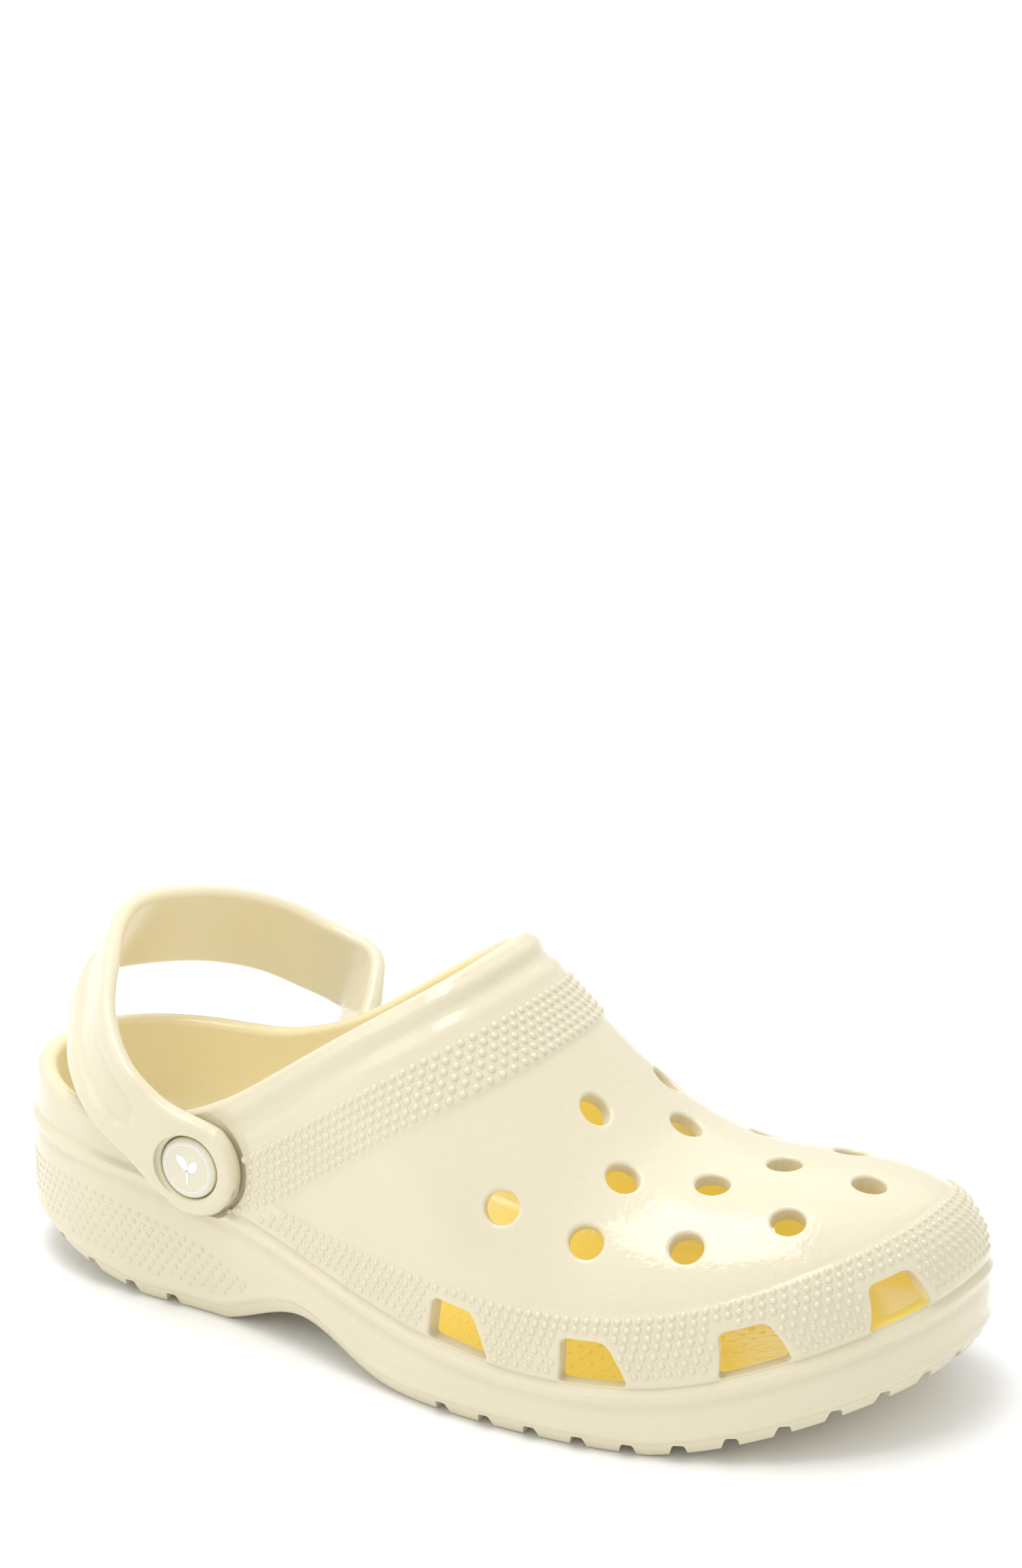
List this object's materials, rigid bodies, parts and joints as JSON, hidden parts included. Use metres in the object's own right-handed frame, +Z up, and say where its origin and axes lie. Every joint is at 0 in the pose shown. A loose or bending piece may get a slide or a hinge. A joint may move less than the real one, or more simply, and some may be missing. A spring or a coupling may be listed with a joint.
{
  "type": "foam garden clog",
  "caption": "Slip-on garden clog of moulded foam with a vented upper, treaded sole and a heel strap that swings on two rivets.",
  "frame": {"origin": "on the ground under the centre of the clog's bounding box", "axes": "+X to the toe, +Y to the inner (medial) side of the foot, -Y to the outer (lateral) side, +Z up"},
  "size_m": [0.2799, 0.118, 0.1124],
  "materials": {
    "shell_foam": "glossy moulded closed-cell foam, pale butter yellow",
    "strap_foam": "glossy moulded closed-cell foam, pale butter yellow",
    "rivet_plastic": "smooth moulded plastic, pale butter yellow"
  },
  "bodies": {
    "clog": {"clog_shell": "shell_foam", "rivet_button_lateral": "rivet_plastic", "rivet_cap_lateral": "rivet_plastic", "rivet_button_medial": "rivet_plastic", "rivet_cap_medial": "rivet_plastic"},
    "strap": {"heel_strap": "strap_foam"}
  },
  "joints": [
    {"name": "strap_swing", "type": "hinge", "parent": "clog", "child": "strap", "pos_m": [-0.06643, 0, 0.0455], "axis": [0, 1, 0], "range_deg": [-5, 70]}
  ]
}
